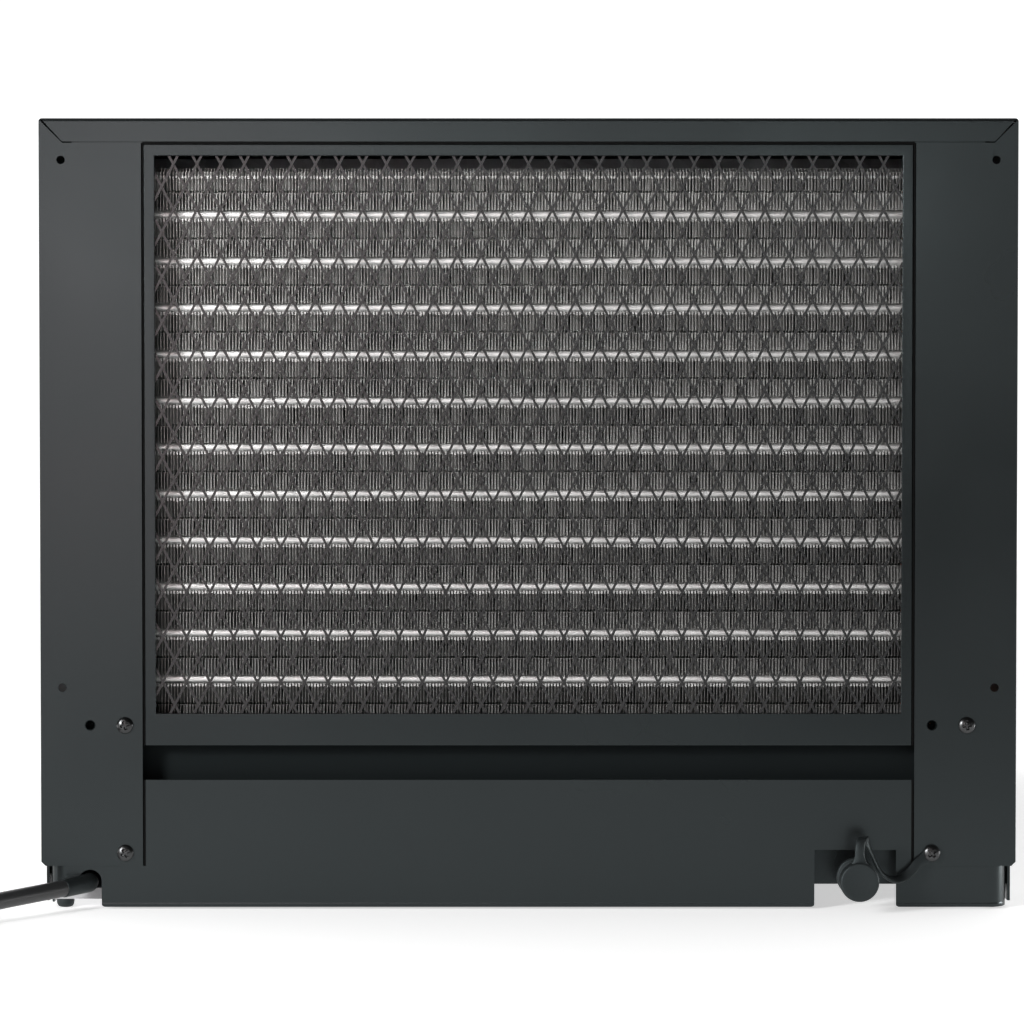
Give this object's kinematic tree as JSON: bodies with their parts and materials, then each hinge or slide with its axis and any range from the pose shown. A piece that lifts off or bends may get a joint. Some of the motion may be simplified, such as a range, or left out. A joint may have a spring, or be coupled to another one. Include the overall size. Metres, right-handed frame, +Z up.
{
  "type": "rack air conditioner",
  "caption": "Rack-mounted air conditioner: black sheet-metal cabinet with a finned condenser behind a diamond mesh at one end, and a cold-air outlet, hinged intake and keypad at the other.",
  "frame": {"origin": "middle of the cabinet's footprint on the floor under the feet", "axes": "+X to the right and +Y away from someone who looks at the hot-air end, +Z up"},
  "size_m": [0.617, 0.7845, 0.355],
  "materials": {
    "black_powder_coat": "fine matt texture",
    "mesh_black": "matt",
    "galvanised_steel": "dull zinc",
    "skid_grey": "satin",
    "fin_aluminium": "mill",
    "tube_copper": "drawn tube",
    "black_rubber": "matt",
    "cord_jacket": "satin",
    "black_plastic": "light grain",
    "key_plastic": "satin",
    "machine_black": "gloss enamel",
    "shaft_steel": "ground",
    "display_lens": "clear coat",
    "board_green": "solder mask",
    "capacitor_grey": "moulded",
    "filter_foam": "open-cell foam",
    "pin_brass": "plated"
  },
  "bodies": {
    "chassis": {"base_pan": "black_powder_coat", "skid_rails": "skid_grey", "feet": "black_rubber", "rear_apron": "black_powder_coat", "outer_cover": "black_powder_coat", "grille_panel": "black_powder_coat", "mesh_guard": "mesh_black", "coil_sill": "black_powder_coat", "condenser_fins": "fin_aluminium", "condenser_tubes": "tube_copper", "condenser_end_sheets": "galvanised_steel", "condenser_shroud": "galvanised_steel", "fan_motor": "machine_black", "motor_pedestal": "galvanised_steel", "bulkhead": "galvanised_steel", "blower_scroll": "galvanised_steel", "supply_duct": "galvanised_steel", "evaporator_fins": "fin_aluminium", "evaporator_tubes": "tube_copper", "evaporator_end_sheets": "galvanised_steel", "drip_tray": "galvanised_steel", "compressor_shell": "machine_black", "compressor_plate": "machine_black", "compressor_pads": "black_rubber", "terminal_cover": "black_plastic", "accumulator": "machine_black", "discharge_pipe": "tube_copper", "suction_pipe": "tube_copper", "liquid_line": "tube_copper", "drain_tether": "black_rubber", "front_panel": "black_powder_coat", "outlet_louvres": "black_plastic", "intake_bezel": "black_plastic", "control_fascia": "black_plastic", "display_window": "display_lens", "control_box": "galvanised_steel", "control_board": "board_green", "run_capacitor": "capacitor_grey", "cord_boot": "black_rubber", "power_cord": "cord_jacket", "power_cord_coil": "cord_jacket", "power_cord_tail": "cord_jacket", "plug_body": "cord_jacket", "plug_pins": "pin_brass"},
    "fan_rotor": {"fan_shaft": "shaft_steel", "condenser_fan": "black_plastic", "blower_wheel": "black_plastic"},
    "drain_plug": {"drain_cap": "black_rubber"},
    "intake_panel": {"intake_door": "black_plastic", "air_filter": "filter_foam"},
    "key_power": {"button_power": "key_plastic"},
    "key_mode": {"button_mode": "key_plastic"},
    "key_cooler": {"button_cooler": "key_plastic"},
    "key_warmer": {"button_warmer": "key_plastic"}
  },
  "joints": [
    {"name": "fan_spin", "type": "hinge", "parent": "chassis", "child": "fan_rotor", "pos_m": [0, -0.12, 0.20225], "axis": [0, 1, 0], "continuous": true},
    {"name": "drain_cap_pull", "type": "slide", "parent": "chassis", "child": "drain_plug", "axis": [0, -1, 0], "range_m": [0, 0.022], "deforming": ["drain_tether"]},
    {"name": "intake_door_swing", "type": "hinge", "parent": "chassis", "child": "intake_panel", "pos_m": [0.053, 0.3355, 0.0656], "axis": [-1, 0, 0], "range_deg": [0, 70]},
    {"name": "button_power_press", "type": "slide", "parent": "chassis", "child": "key_power", "axis": [0, -1, 0], "range_m": [0, 0.0012], "stiffness_N_per_m": 800},
    {"name": "button_mode_press", "type": "slide", "parent": "chassis", "child": "key_mode", "axis": [0, -1, 0], "range_m": [0, 0.0012], "stiffness_N_per_m": 800},
    {"name": "button_cooler_press", "type": "slide", "parent": "chassis", "child": "key_cooler", "axis": [0, -1, 0], "range_m": [0, 0.0012], "stiffness_N_per_m": 800},
    {"name": "button_warmer_press", "type": "slide", "parent": "chassis", "child": "key_warmer", "axis": [0, -1, 0], "range_m": [0, 0.0012], "stiffness_N_per_m": 800}
  ]
}
